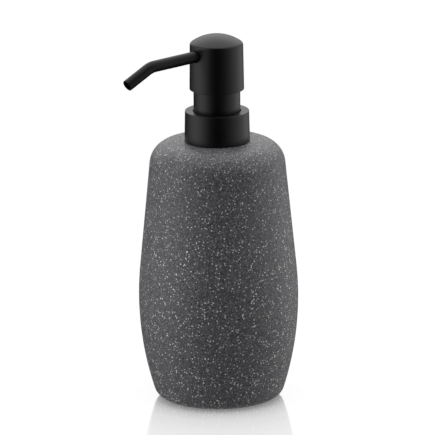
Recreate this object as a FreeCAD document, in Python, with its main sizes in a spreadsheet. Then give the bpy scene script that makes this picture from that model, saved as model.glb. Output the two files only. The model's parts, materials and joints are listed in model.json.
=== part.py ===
import FreeCAD, Part
import math
import operator
import os
import types
import Sketcher

Vector = FreeCAD.Vector

# A soap pump dispenser: a cast bottle with a screw-on lotion pump.
# +Z is up, the origin is the middle of the base on the table, and the spout points to -Y.
# Lengths are in millimetres and angles in degrees.

driving_sizes = {
    # bottle
    "bottle_height": 132.4,
    "belly_radius": 40.1,
    "belly_level": 52.6,
    "side_radius": 158.0,
    "foot_radius": 6.3,
    "shoulder_taper": 5.7,
    "shoulder_radius": 12.0,
    "bottle_wall": 5.0,
    "bottle_floor": 6.0,
    "inner_corner_radius": 7.0,
    "mouth_edge_radius": 0.8,
    "foot_edge_radius": 0.4,
    # soft pad under the bottle
    "pad_inset": 3.9,
    "pad_thickness": 2.0,
    "pad_proud": 0.4,
    "pad_chamfer": 0.3,
    "pad_gap": 0.3,
    # threaded insert glued into the bottle's mouth
    "mouth_step": 0.2,
    "insert_fit": 0.03,
    "spigot_depth": 8.0,
    "insert_wall": 1.5,
    "insert_flange_reach": 1.1,
    "insert_flange_thickness": 1.2,
    "neck_height": 10.3,
    "neck_root_radius": 12.6,
    "rim_chamfer": 0.4,
    # thread
    "thread_pitch": 4.23,
    "thread_turns": 1.5,
    "thread_depth": 1.1,
    "thread_foot": 1.9,
    "thread_crest": 0.9,
    "thread_start": 0.8,
    "thread_gap": 0.25,
    # gasket
    "gasket_thickness": 1.2,
    "gasket_gap": 0.3,
    # pump housing
    "barrel_bore_radius": 6.6,
    "barrel_wall": 1.3,
    "barrel_length": 35.9,
    "barrel_floor": 1.5,
    "flange_step": 0.5,
    "flange_thickness": 1.4,
    "housing_neck_wall": 3.0,
    "ball_side_gap": 1.0,
    "chamber_wall": 1.6,
    "chamber_depth": 7.0,
    "ball_radius": 2.4,
    "ball_seat_gap": 0.02,
    "ball_lift": 1.5,
    "inlet_length": 0.6,
    "rib_reach": 1.5,
    "rib_width": 0.9,
    "tail_wall": 1.2,
    "tail_length": 9.5,
    "vent_radius": 0.6,
    "vent_drop": 5.9,
    # dip tube
    "dip_tube_radius": 3.0,
    "dip_tube_wall": 0.8,
    "dip_tube_floor_gap": 2.2,
    "dip_tube_slant": 2.4,
    # collar
    "turning_gap": 0.15,
    "plate_thickness": 1.2,
    "plate_hole_gap": 0.2,
    "collar_recess": 0.75,
    "collar_recess_gap": 0.9,
    "shell_wall": 0.6,
    "shell_fit": 0.03,
    "shell_foot_gap": 0.2,
    "core_wall": 1.5,
    "shell_draft": 0.35,
    "shell_hole_gap": 0.4,
    "shell_edge_radius": 0.35,
    "core_foot_gap": 0.3,
    # chaplet, the guide ring on top of the housing
    "chaplet_wall": 1.6,
    "neck_lap": 1.3,
    "neck_fit": 0.02,
    "cup_floor": 2.0,
    "cup_gap": 1.5,
    "cup_depth": 11.8,
    "guide_gap": 0.3,
    "guide_length": 7.9,
    "stem_gap": 0.08,
    "sleeve_wall": 0.5,
    "sleeve_lip": 1.7,
    "sleeve_edge_radius": 0.3,
    # stem, piston and spring
    "stem_radius": 4.0,
    "stem_wall": 1.6,
    "stem_fit": 0.02,
    "stop_side_gap": 1.4,
    "stop_thickness": 1.2,
    "stop_gap": 0.2,
    "shank_step": 0.7,
    "shank_length": 8.0,
    "port_radius": 1.0,
    "port_rise": 1.3,
    "rod_disc_reach": 0.5,
    "rod_disc_thickness": 1.4,
    "rod_plug_length": 6.0,
    "rod_plug_fit": 0.02,
    "flute_width": 1.2,
    "spike_radius": 2.0,
    "spike_length": 9.9,
    "spike_tip": 1.2,
    "piston_float": 1.0,
    "piston_gap": 0.1,
    "piston_hub_wall": 1.1,
    "piston_pocket": 0.7,
    "piston_pocket_depth": 2.6,
    "seal_gap": 0.05,
    "seal_lip": 0.55,
    "lip_inset": 0.7,
    "web_thickness": 1.4,
    "spring_wire": 0.9,
    "spring_side_gap": 1.8,
    "spring_turns": 7.5,
    "spring_end_gap": 0.02,
    # head
    "stroke": 10.5,
    "stroke_gap": 0.4,
    "head_gap": 0.65,
    "head_draft": 0.3,
    "head_wall": 1.0,
    "dome_gap": 0.43,
    "dome_radius": 21.0,
    "dome_edge_radius": 1.6,
    "skirt_edge_radius": 0.3,
    "core_fit": 0.03,
    "boss_wall": 2.5,
    "boss_gap": 2.3,
    "disc_gap": 0.7,
    "socket_roof": 0.5,
    "socket_depth": 9.1,
    # spout
    "spout_seat": 1.3,
    "spout_radius": 2.9,
    "spout_wall": 0.6,
    "spout_droop": 2.0,
    "spout_slope": 26.0,
    "spout_start": 4.5,
    "spout_bend_reach": 41.3,
    "spout_tip_reach": 56.0,
    "spout_bend_radius": 11.0,
    "spout_fit": 0.03,
    "spout_hole_gap": 0.3,
}

os.makedirs("parts", exist_ok=True)
doc = FreeCAD.newDocument("soap_pump_dispenser")

sheet = doc.addObject("Spreadsheet::Sheet", "Sizes")
for row, (alias, number) in enumerate(driving_sizes.items(), start=1):
    sheet.set(f"A{row}", str(number))
    sheet.setAlias(f"A{row}", alias)
doc.recompute()


class Size:
    """A number and the expression on the sheet's cells that gives it."""

    def __init__(self, value, text):
        self.value = value
        self.text = text

    def __add__(self, other):
        return combine(self, "+", other)

    def __sub__(self, other):
        return combine(self, "-", other)

    def __mul__(self, other):
        return combine(self, "*", other)

    def __truediv__(self, other):
        return combine(self, "/", other)

    def __neg__(self):
        return Size(-self.value, f"(-1 * {self.text})")


arithmetic = {"+": operator.add, "-": operator.sub, "*": operator.mul, "/": operator.truediv}


def as_size(item):
    return item if isinstance(item, Size) else Size(float(item), str(item))


def combine(first, sign, second):
    left = as_size(first)
    right = as_size(second)
    return Size(arithmetic[sign](left.value, right.value), f"({left.text} {sign} {right.text})")


def tangent(angle):
    return Size(math.tan(math.radians(angle.value)), f"tan({angle.text} * 1 deg)")


def root(size):
    return Size(math.sqrt(size.value), f"sqrt({size.text})")


def square(size):
    return size * size


d = types.SimpleNamespace(**{name: Size(number, f"Sizes.{name}") for name, number in driving_sizes.items()})

# Levels, from the table up.

foot_level = d.pad_proud
floor_level = foot_level + d.bottle_floor
roof_level = d.bottle_height - d.bottle_wall
insert_flange_top = d.bottle_height + d.insert_flange_thickness
neck_rim = d.bottle_height + d.neck_height
gasket_top = neck_rim + d.gasket_thickness
flange_top = gasket_top + d.flange_thickness
plate_foot = flange_top + d.turning_gap
plate_top = plate_foot + d.plate_thickness
collar_rim = plate_top + d.collar_recess
collar_top = collar_rim + d.shell_wall
chaplet_foot = plate_top + d.turning_gap
housing_top = chaplet_foot + d.neck_lap
cup_floor_top = housing_top + d.cup_floor
cup_top = cup_floor_top + d.cup_depth
sleeve_top = cup_top + d.sleeve_wall
guide_foot = housing_top - d.guide_length
skirt_foot = collar_top + d.stroke + d.stroke_gap

# Levels inside the pump, from the barrel's ledge and from the stem's stop.

ledge = gasket_top - d.barrel_length
chamber_foot = ledge - d.chamber_depth
inlet_foot = chamber_foot - d.inlet_length
tail_foot = inlet_foot - d.tail_length
stop_top = guide_foot - d.stop_gap
stop_foot = stop_top - d.stop_thickness
disc_top = stop_foot - d.shank_length
disc_foot = disc_top - d.rod_disc_thickness
boss_foot = cup_floor_top + d.stroke + d.boss_gap
socket_top = boss_foot + d.socket_depth
core_disc_foot = sleeve_top + d.stroke + d.disc_gap
spout_level = core_disc_foot + d.spout_radius + d.spout_seat
core_disc_top = spout_level + d.spout_radius + d.socket_roof

# Radii, from the neck outwards and from the barrel inwards.

crest_radius = d.neck_root_radius + d.thread_depth
mouth_radius = d.neck_root_radius - d.mouth_step
insert_bore = d.neck_root_radius - d.insert_wall
insert_flange_radius = crest_radius + d.insert_flange_reach
flange_radius = crest_radius - d.flange_step
core_bore = crest_radius + d.thread_gap
shell_top_radius = core_bore + d.core_wall + d.shell_wall
shell_foot_radius = shell_top_radius + d.shell_draft
shell_foot_inner = shell_foot_radius - d.shell_wall
barrel_radius = d.barrel_bore_radius + d.barrel_wall
housing_neck_radius = d.barrel_bore_radius + d.housing_neck_wall
chaplet_radius = housing_neck_radius + d.chaplet_wall
sleeve_radius = chaplet_radius + d.sleeve_wall
head_inner = sleeve_radius + d.head_gap
head_top_radius = head_inner + d.head_wall
head_foot_radius = head_top_radius + d.head_draft
guide_radius = d.barrel_bore_radius - d.guide_gap
stop_radius = d.barrel_bore_radius - d.stop_side_gap
spring_radius = d.barrel_bore_radius - d.spring_side_gap
chamber_radius = d.ball_radius + d.ball_side_gap
inlet_radius = d.ball_radius * 2 / 3
tail_radius = d.dip_tube_radius + d.tail_wall
stem_bore = d.stem_radius - d.stem_wall
shank_radius = d.stem_radius - d.shank_step
hub_bore = shank_radius + d.piston_gap
hub_radius = hub_bore + d.piston_hub_wall
rod_disc_radius = hub_radius + d.rod_disc_reach
boss_radius = d.stem_radius + d.boss_wall
cup_radius = boss_radius + d.cup_gap

# The foot's flat ends where the foot arc begins, and the pad follows it.

foot_arc_rise = d.belly_level - foot_level - d.foot_radius
foot_arc_reach = root(square(d.side_radius - d.foot_radius) - square(foot_arc_rise))
pad_radius = d.belly_radius - d.side_radius + foot_arc_reach - d.pad_inset
recess_radius = pad_radius + d.pad_gap

# The dome's centre puts the inner dome's edge just above the head core.

inner_dome_radius = d.dome_radius - d.head_wall
inner_dome_rise = root(square(inner_dome_radius) - square(head_inner))
dome_centre = core_disc_top + d.dome_gap - inner_dome_rise
head_top = dome_centre + d.dome_radius


def new_body(label):
    body = doc.addObject("PartDesign::Body", label)
    body.Label = label
    return body


def new_sketch(body, name, role):
    """A sketch on one of the body's own origin planes."""
    plane = [item for item in body.Origin.OriginFeatures if item.Role == role][0]
    sketch = body.newObject("Sketcher::SketchObject", f"{body.Label}_{name}_sketch")
    sketch.AttachmentSupport = [(plane, "")]
    sketch.MapMode = "FlatFace"
    return sketch


def bind(sketch, kind, *where):
    """Adds a constraint whose last argument is a Size, and ties it to the sheet."""
    *places, size = where
    index = sketch.addConstraint(Sketcher.Constraint(kind, *places, size.value))
    sketch.setExpression(f"Constraints[{index}]", size.text)


def tie(sketch, kind, *where):
    sketch.addConstraint(Sketcher.Constraint(kind, *where))


def place_point(sketch, edge, end, across, up):
    """Fixes one end of an edge at its distances from the sketch's origin."""
    for axis, kind, size in ((-2, "DistanceX", as_size(across)), (-1, "DistanceY", as_size(up))):
        if size.value == 0:
            tie(sketch, "PointOnObject", edge, end, axis)
        elif size.value < 0:
            bind(sketch, kind, edge, end, -1, 1, -size)
        else:
            bind(sketch, kind, -1, 1, edge, end, size)


def draw_polygon(sketch, corners):
    """A closed outline through corners given as (radius, level)."""
    points = [Vector(as_size(across).value, as_size(up).value, 0) for across, up in corners]
    count = len(points)
    for number in range(count):
        sketch.addGeometry(Part.LineSegment(points[number], points[(number + 1) % count]), False)
    for number in range(count):
        tie(sketch, "Coincident", number, 2, (number + 1) % count, 1)
    for number, (across, up) in enumerate(corners):
        place_point(sketch, number, 1, across, up)


def turn_profile(body, kind, name, sketch):
    """Revolves or grooves a sketch about the upright axis."""
    feature = body.newObject(kind, f"{body.Label}_{name}")
    feature.Profile = sketch
    feature.ReferenceAxis = (sketch, ["V_Axis"])
    feature.Angle = 360
    sketch.Visibility = False
    doc.recompute()
    return feature


def turn(body, name, corners):
    sketch = new_sketch(body, name, "XZ_Plane")
    draw_polygon(sketch, corners)
    return turn_profile(body, "PartDesign::Revolution", name, sketch)


def groove(body, name, corners):
    sketch = new_sketch(body, name, "XZ_Plane")
    draw_polygon(sketch, corners)
    return turn_profile(body, "PartDesign::Groove", name, sketch)


def ring_edges(feature, rings):
    """Names of the circular edges that lie at the given (radius, level) pairs."""
    reach = 0.02
    names = []
    for number, edge in enumerate(feature.Shape.Edges, start=1):
        if edge.Degenerated or not isinstance(edge.Curve, Part.Circle):
            continue
        for radius, level in rings:
            near_radius = abs(edge.Curve.Radius - radius.value) < reach
            if near_radius and abs(edge.Curve.Center.z - level.value) < reach:
                names.append(f"Edge{number}")
    return names


def fillet(body, name, rings, radius):
    base = body.Tip
    feature = body.newObject("PartDesign::Fillet", f"{body.Label}_{name}")
    feature.Base = (base, ring_edges(base, rings))
    feature.setExpression("Radius", radius.text)
    doc.recompute()
    return feature


def helix(body, kind, name, corners, pitch, rise):
    """Winds an outline around the upright axis as a thread or a thread groove."""
    sketch = new_sketch(body, name, "XZ_Plane")
    draw_polygon(sketch, corners)
    feature = body.newObject(kind, f"{body.Label}_{name}")
    feature.Profile = sketch
    feature.ReferenceAxis = (sketch, ["V_Axis"])
    feature.Mode = 0
    feature.setExpression("Pitch", pitch.text)
    feature.setExpression("Height", rise.text)
    sketch.Visibility = False
    doc.recompute()
    return feature


def circle_sketch(body, name, role, radius, across, up):
    sketch = new_sketch(body, name, role)
    centre = Vector(as_size(across).value, as_size(up).value, 0)
    sketch.addGeometry(Part.Circle(centre, Vector(0, 0, 1), radius.value), False)
    place_point(sketch, 0, 3, across, up)
    bind(sketch, "Radius", 0, radius)
    sketch.Visibility = False
    return sketch


def through_hole(body, name, role, radius, across, up, length):
    """A round hole right through the body, as far each side of the plane as half the length."""
    sketch = circle_sketch(body, name, role, radius, across, up)
    feature = body.newObject("PartDesign::Pocket", f"{body.Label}_{name}")
    feature.Profile = sketch
    feature.SideType = "Symmetric"
    feature.setExpression("Length", length.text)
    doc.recompute()
    return feature


# Bottle


def draw_vessel(sketch, foot, top, belly, side, shoulder, corner):
    """Half the section of the bottle, outside or inside: a foot arc, one long side arc,
    a straight taper and a shoulder arc, each tangent to the next."""
    taper = math.radians(d.shoulder_taper.value)
    side_centre = Vector(belly.value - side.value, d.belly_level.value, 0)
    drop = side_centre.y - foot.value - corner.value
    foot_centre = side_centre + Vector(math.sqrt((side.value - corner.value) ** 2 - drop**2), -drop, 0)
    foot_turn = math.atan2(-drop, foot_centre.x - side_centre.x)
    outward = Vector(math.cos(taper), math.sin(taper), 0)
    upward = Vector(-math.sin(taper), math.cos(taper), 0)
    side_end = side_centre + outward * side.value
    rise = (top.value - shoulder.value - (side_end - outward * shoulder.value).y) / upward.y
    taper_end = side_end + upward * rise
    shoulder_centre = taper_end - outward * shoulder.value
    normal = Vector(0, 0, 1)
    axis_foot = Vector(0, foot.value, 0)
    axis_top = Vector(0, top.value, 0)
    quarter = math.pi / 2
    foot_circle = Part.Circle(foot_centre, normal, corner.value)
    side_circle = Part.Circle(side_centre, normal, side.value)
    shoulder_circle = Part.Circle(shoulder_centre, normal, shoulder.value)
    sketch.addGeometry(
        [
            Part.LineSegment(axis_foot, foot_centre - Vector(0, corner.value, 0)),
            Part.ArcOfCircle(foot_circle, -quarter, foot_turn),
            Part.ArcOfCircle(side_circle, foot_turn, taper),
            Part.LineSegment(side_end, taper_end),
            Part.ArcOfCircle(shoulder_circle, taper, quarter),
            Part.LineSegment(shoulder_centre + Vector(0, shoulder.value, 0), axis_top),
            Part.LineSegment(axis_top, axis_foot),
        ],
        False,
    )
    for edge in range(5):
        tie(sketch, "Tangent", edge, 2, edge + 1, 1)
    tie(sketch, "Coincident", 5, 2, 6, 1)
    tie(sketch, "Coincident", 6, 2, 0, 1)
    tie(sketch, "Horizontal", 0)
    tie(sketch, "Horizontal", 5)
    place_point(sketch, 6, 1, 0, top)
    place_point(sketch, 6, 2, 0, foot)
    bind(sketch, "Radius", 1, corner)
    bind(sketch, "Radius", 2, side)
    bind(sketch, "Radius", 4, shoulder)
    place_point(sketch, 2, 3, belly - side, d.belly_level)
    index = sketch.addConstraint(Sketcher.Constraint("Angle", 3, quarter + taper))
    sketch.setExpression(f"Constraints[{index}]", f"(90 + {d.shoulder_taper.text}) * 1 deg")


bottle = new_body("bottle")
outline = new_sketch(bottle, "outside", "XZ_Plane")
draw_vessel(
    outline, foot_level, d.bottle_height, d.belly_radius, d.side_radius, d.shoulder_radius, d.foot_radius
)
turn_profile(bottle, "PartDesign::Revolution", "outside", outline)
hollow = new_sketch(bottle, "inside", "XZ_Plane")
draw_vessel(
    hollow,
    floor_level,
    roof_level,
    d.belly_radius - d.bottle_wall,
    d.side_radius - d.bottle_wall,
    d.shoulder_radius - d.bottle_wall,
    d.inner_corner_radius,
)
turn_profile(bottle, "PartDesign::Groove", "inside", hollow)
mouth_foot = roof_level - d.bottle_wall
groove(
    bottle,
    "mouth",
    [(0, mouth_foot), (mouth_radius, mouth_foot), (mouth_radius, d.bottle_height), (0, d.bottle_height)],
)
groove(
    bottle,
    "pad_recess",
    [(0, foot_level), (recess_radius, foot_level), (recess_radius, d.pad_thickness), (0, d.pad_thickness)],
)
fillet(bottle, "mouth_edges", [(mouth_radius, roof_level)], d.mouth_edge_radius)
fillet(bottle, "recess_edge", [(recess_radius, foot_level)], d.foot_edge_radius)

# Pad under the bottle

base_pad = new_body("base_pad")
turn(
    base_pad,
    "disc",
    [
        (0, 0),
        (pad_radius - d.pad_chamfer, 0),
        (pad_radius, d.pad_chamfer),
        (pad_radius, d.pad_thickness),
        (0, d.pad_thickness),
    ],
)

# Threaded insert in the mouth


def thread_section(root, crest, level):
    """A symmetric ridge, drawn from just inside the root out to the crest."""
    bite = (crest - root) / 10
    slope = (d.thread_foot - d.thread_crest) / 2
    return [
        (root - bite, level),
        (crest, level + slope),
        (crest, level + slope + d.thread_crest),
        (root - bite, level + d.thread_foot),
    ]


thread_level = insert_flange_top + d.thread_start
thread_rise = d.thread_pitch * d.thread_turns

neck_insert = new_body("neck_insert")
spigot_radius = mouth_radius - d.insert_fit
turn(
    neck_insert,
    "neck",
    [
        (insert_bore, d.bottle_height - d.spigot_depth),
        (spigot_radius, d.bottle_height - d.spigot_depth),
        (spigot_radius, d.bottle_height),
        (insert_flange_radius, d.bottle_height),
        (insert_flange_radius, insert_flange_top),
        (d.neck_root_radius, insert_flange_top),
        (d.neck_root_radius, neck_rim - d.rim_chamfer),
        (d.neck_root_radius - d.rim_chamfer, neck_rim),
        (insert_bore, neck_rim),
    ],
)
helix(
    neck_insert,
    "PartDesign::AdditiveHelix",
    "thread",
    thread_section(d.neck_root_radius, crest_radius, thread_level),
    d.thread_pitch,
    thread_rise,
)

# Gasket on the neck's rim

neck_gasket = new_body("neck_gasket")
turn(
    neck_gasket,
    "ring",
    [
        (barrel_radius + d.gasket_gap, neck_rim),
        (flange_radius, neck_rim),
        (flange_radius, gasket_top),
        (barrel_radius + d.gasket_gap, gasket_top),
    ],
)

# Pump housing: flange, barrel, ball chamber and the tail that holds the dip tube

housing = new_body("housing")
chamber_outer = chamber_radius + d.chamber_wall
barrel_foot = ledge - d.barrel_floor
seat_top = chamber_foot + chamber_radius - inlet_radius
turn(
    housing,
    "barrel",
    [
        (d.barrel_bore_radius, ledge),
        (d.barrel_bore_radius, housing_top),
        (housing_neck_radius, housing_top),
        (housing_neck_radius, flange_top),
        (flange_radius, flange_top),
        (flange_radius, gasket_top),
        (barrel_radius, gasket_top),
        (barrel_radius, barrel_foot),
        (chamber_outer, barrel_foot - (barrel_radius - chamber_outer)),
        (chamber_outer, chamber_foot),
        (tail_radius, inlet_foot),
        (tail_radius, tail_foot),
        (d.dip_tube_radius, tail_foot),
        (d.dip_tube_radius, inlet_foot),
        (inlet_radius, inlet_foot),
        (inlet_radius, chamber_foot),
        (chamber_radius, seat_top),
        (chamber_radius, ledge),
    ],
)

# The ball touches the 45 degree seat where its own slope is 45 degrees.
seat_apex = chamber_foot - inlet_radius
ball_level = seat_apex + d.ball_radius * root(as_size(2)) + d.ball_seat_gap

# Three ribs above the ball keep it in its chamber and let the soap pass.
rib_sketch = new_sketch(housing, "rib", "XZ_Plane")
rib_inner = chamber_radius - d.rib_reach
rib_outer = chamber_radius + d.chamber_wall / 2
rib_foot = ball_level + d.ball_radius + d.ball_lift - d.rib_width / 2
draw_polygon(rib_sketch, [(rib_inner, rib_foot), (rib_outer, rib_foot), (rib_outer, ledge), (rib_inner, ledge)])
rib = housing.newObject("PartDesign::Pad", "housing_rib")
rib.Profile = rib_sketch
rib.SideType = "Symmetric"
rib.setExpression("Length", d.rib_width.text)
rib_sketch.Visibility = False
doc.recompute()
ribs = housing.newObject("PartDesign::PolarPattern", "housing_ribs")
ribs.Originals = [rib]
ribs.Axis = (rib_sketch, ["V_Axis"])
ribs.Angle = 360
ribs.Occurrences = 3
housing.Tip = ribs
doc.recompute()
through_hole(
    housing, "vents", "YZ_Plane", d.vent_radius, 0, gasket_top - d.vent_drop, barrel_radius * 2 + d.barrel_wall
)

# Ball of the inlet valve

inlet_ball = doc.addObject("Part::Sphere", "inlet_ball")
inlet_ball.Label = "inlet_ball"
inlet_ball.setExpression("Radius", d.ball_radius.text)
inlet_ball.setExpression("Placement.Base.z", ball_level.text)

# Dip tube, cut at a slant so that it never sits flat on the floor

dip_tube = new_body("dip_tube")
dip_foot = floor_level + d.dip_tube_floor_gap
dip_bore = d.dip_tube_radius - d.dip_tube_wall
turn(
    dip_tube,
    "tube",
    [
        (dip_bore, dip_foot),
        (d.dip_tube_radius, dip_foot),
        (d.dip_tube_radius, inlet_foot),
        (dip_bore, inlet_foot),
    ],
)
slant_sketch = new_sketch(dip_tube, "slant", "YZ_Plane")
draw_polygon(
    slant_sketch,
    [
        (-(d.dip_tube_radius + d.dip_tube_wall), dip_foot - d.dip_tube_wall),
        (d.dip_tube_radius + d.dip_tube_wall, dip_foot - d.dip_tube_wall),
        (d.dip_tube_radius + d.dip_tube_wall, dip_foot),
        (-(d.dip_tube_radius + d.dip_tube_wall), dip_foot + d.dip_tube_slant),
    ],
)
slant = dip_tube.newObject("PartDesign::Pocket", "dip_tube_slant")
slant.Profile = slant_sketch
slant.SideType = "Symmetric"
slant.setExpression("Length", (d.dip_tube_radius * 3).text)
slant_sketch.Visibility = False
doc.recompute()

# Collar: a threaded core that turns on the housing's flange, inside a smooth shell

core_foot = insert_flange_top + d.core_foot_gap
shell_foot = d.bottle_height + d.shell_foot_gap
shell_slope = d.shell_draft / (collar_top - shell_foot)


def core_radius(level):
    """The core's outside follows the shell's draft."""
    return shell_foot_inner - shell_slope * (level - shell_foot) - d.shell_fit


collar_core = new_body("collar_core")
plate_hole = housing_neck_radius + d.plate_hole_gap
recess_wall = sleeve_radius + d.collar_recess_gap
turn(
    collar_core,
    "cap",
    [
        (core_bore, core_foot),
        (core_radius(core_foot), core_foot),
        (core_radius(collar_rim), collar_rim),
        (recess_wall, collar_rim),
        (recess_wall, plate_top),
        (plate_hole, plate_top),
        (plate_hole, plate_foot),
        (core_bore, plate_foot),
    ],
)
helix(
    collar_core,
    "PartDesign::SubtractiveHelix",
    "thread_groove",
    thread_section(core_bore, core_bore + d.thread_depth / 2, thread_level),
    d.thread_pitch,
    thread_rise,
)

collar_shell = new_body("collar_shell")
shell_hole = sleeve_radius + d.shell_hole_gap
turn(
    collar_shell,
    "cover",
    [
        (shell_foot_inner, shell_foot),
        (shell_foot_radius, shell_foot),
        (shell_top_radius, collar_top),
        (shell_hole, collar_top),
        (shell_hole, collar_rim),
        (shell_foot_inner - shell_slope * (collar_rim - shell_foot), collar_rim),
    ],
)
fillet(collar_shell, "top_edge", [(shell_top_radius, collar_top)], d.shell_edge_radius)

# Chaplet: snaps over the housing's neck, guides the stem and stops it going up

chaplet = new_body("chaplet")
stem_hole = d.stem_radius + d.stem_gap
lap_radius = housing_neck_radius + d.neck_fit
turn(
    chaplet,
    "guide",
    [
        (stem_hole, guide_foot),
        (guide_radius, guide_foot),
        (guide_radius, housing_top),
        (lap_radius, housing_top),
        (lap_radius, chaplet_foot),
        (chaplet_radius, chaplet_foot),
        (chaplet_radius, cup_top),
        (cup_radius, cup_top),
        (cup_radius, cup_floor_top),
        (stem_hole, cup_floor_top),
    ],
)

chaplet_sleeve = new_body("chaplet_sleeve")
turn(
    chaplet_sleeve,
    "tube",
    [
        (chaplet_radius, chaplet_foot),
        (sleeve_radius, chaplet_foot),
        (sleeve_radius, sleeve_top),
        (chaplet_radius - d.sleeve_lip, sleeve_top),
        (chaplet_radius - d.sleeve_lip, cup_top),
        (chaplet_radius, cup_top),
    ],
)
fillet(chaplet_sleeve, "top_edge", [(sleeve_radius, sleeve_top)], d.sleeve_edge_radius)

# Stem: a tube from the piston up into the head, with two ports above the rod's disc

stem = new_body("stem")
turn(
    stem,
    "tube",
    [
        (stem_bore, disc_top),
        (shank_radius, disc_top),
        (shank_radius, stop_foot),
        (stop_radius, stop_foot),
        (stop_radius, stop_top),
        (d.stem_radius, stop_top),
        (d.stem_radius, socket_top),
        (stem_bore, socket_top),
    ],
)
through_hole(stem, "ports", "YZ_Plane", d.port_radius, 0, disc_top + d.port_rise, shank_radius * 3)

# Piston rod: a fluted plug in the stem's bore, a disc that the piston seals on, and a spike below

piston_rod = new_body("piston_rod")
plug_radius = stem_bore - d.rod_plug_fit
turn(
    piston_rod,
    "rod",
    [
        (0, disc_foot - d.spike_length),
        (d.spike_radius / 2, disc_foot - d.spike_length),
        (d.spike_radius, disc_foot - d.spike_length + d.spike_tip),
        (d.spike_radius, disc_foot),
        (rod_disc_radius, disc_foot),
        (rod_disc_radius, disc_top),
        (plug_radius, disc_top),
        (plug_radius, disc_top + d.rod_plug_length),
        (0, disc_top + d.rod_plug_length),
    ],
)
flute_sketch = new_sketch(piston_rod, "flute", "XZ_Plane")
flute_inner = plug_radius / 2
draw_polygon(
    flute_sketch,
    [
        (flute_inner, disc_top),
        (plug_radius * 2, disc_top),
        (plug_radius * 2, disc_top + d.rod_plug_length),
        (flute_inner, disc_top + d.rod_plug_length),
    ],
)
flute = piston_rod.newObject("PartDesign::Pocket", "piston_rod_flute")
flute.Profile = flute_sketch
flute.SideType = "Symmetric"
flute.setExpression("Length", d.flute_width.text)
flute_sketch.Visibility = False
doc.recompute()
flutes = piston_rod.newObject("PartDesign::PolarPattern", "piston_rod_flutes")
flutes.Originals = [flute]
flutes.Axis = (flute_sketch, ["V_Axis"])
flutes.Angle = 360
flutes.Occurrences = 4
piston_rod.Tip = flutes
doc.recompute()

# Piston: a hub that floats on the stem's shank, a web, and two sealing lips

piston = new_body("piston")
hub_top = stop_foot - d.piston_float
seal_radius = d.barrel_bore_radius - d.seal_gap
web_level = (disc_top + hub_top) / 2
web_foot = web_level - d.web_thickness / 2
web_top = web_level + d.web_thickness / 2
pocket_radius = hub_bore + d.piston_pocket
turn(
    piston,
    "seal",
    [
        (pocket_radius, disc_top),
        (hub_radius, disc_top),
        (hub_radius, web_foot),
        (seal_radius - d.seal_lip, web_foot),
        (seal_radius - d.seal_lip, disc_top + d.lip_inset),
        (seal_radius, disc_top + d.lip_inset),
        (seal_radius, hub_top - d.lip_inset),
        (seal_radius - d.seal_lip, hub_top - d.lip_inset),
        (seal_radius - d.seal_lip, web_top),
        (hub_radius, web_top),
        (hub_radius, hub_top),
        (hub_bore, hub_top),
        (hub_bore, disc_top + d.piston_pocket_depth),
        (pocket_radius, disc_top + d.piston_pocket_depth),
    ],
)

# Return spring between the barrel's ledge and the rod's disc

spring_foot = ledge + d.spring_wire / 2 + d.spring_end_gap
spring_rise = disc_foot - ledge - d.spring_wire - d.spring_end_gap * 2
coil = doc.addObject("Part::Helix", "spring_coil")
coil.setExpression("Radius", spring_radius.text)
coil.setExpression("Height", spring_rise.text)
coil.setExpression("Pitch", (spring_rise / d.spring_turns).text)
coil.setExpression("Placement.Base.z", spring_foot.text)
wire = doc.addObject("Part::Circle", "spring_wire_section")
wire.setExpression("Radius", (d.spring_wire / 2).text)
wire.Placement.Rotation = FreeCAD.Rotation(Vector(1, 0, 0), 90)
wire.setExpression("Placement.Base.x", spring_radius.text)
wire.setExpression("Placement.Base.z", spring_foot.text)
return_spring = doc.addObject("Part::Sweep", "return_spring")
return_spring.Label = "return_spring"
return_spring.Sections = [wire]
return_spring.Spine = (coil, ["Edge1"])
return_spring.Solid = True
return_spring.Frenet = True
doc.recompute()

# Spout: its route lies in the YZ plane and droops from the pump's axis


def route_level(reach):
    """The level of the spout's first run at a distance in front of the axis."""
    return spout_level - reach * tangent(d.spout_droop)


def section_on(body, name, route, radii):
    """Circles around the start of a route, square to it."""
    sketch = body.newObject("Sketcher::SketchObject", f"{body.Label}_{name}_section")
    sketch.AttachmentSupport = [(route, "Edge1")]
    sketch.MapMode = "NormalToEdge"
    sketch.MapPathParameter = 0
    for number, radius in enumerate(radii):
        sketch.addGeometry(Part.Circle(Vector(0, 0, 0), Vector(0, 0, 1), radius.value), False)
        tie(sketch, "Coincident", number, 3, -1, 1)
        bind(sketch, "Radius", number, radius)
    sketch.Visibility = False
    return sketch


def side_hole(body, name, radius, start, end):
    """A hole along the spout's first run, from one distance in front of the axis to another."""
    route = new_sketch(body, f"{name}_route", "YZ_Plane")
    near = Vector(-as_size(start).value, route_level(as_size(start)).value, 0)
    far = Vector(-end.value, route_level(end).value, 0)
    route.addGeometry(Part.LineSegment(near, far), False)
    place_point(route, 0, 1, -as_size(start), route_level(as_size(start)))
    place_point(route, 0, 2, -end, route_level(end))
    route.Visibility = False
    doc.recompute()
    feature = body.newObject("PartDesign::SubtractivePipe", f"{body.Label}_{name}")
    feature.Profile = section_on(body, name, route, [radius])
    feature.Spine = (route, ["Edge1"])
    doc.recompute()
    return feature


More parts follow.
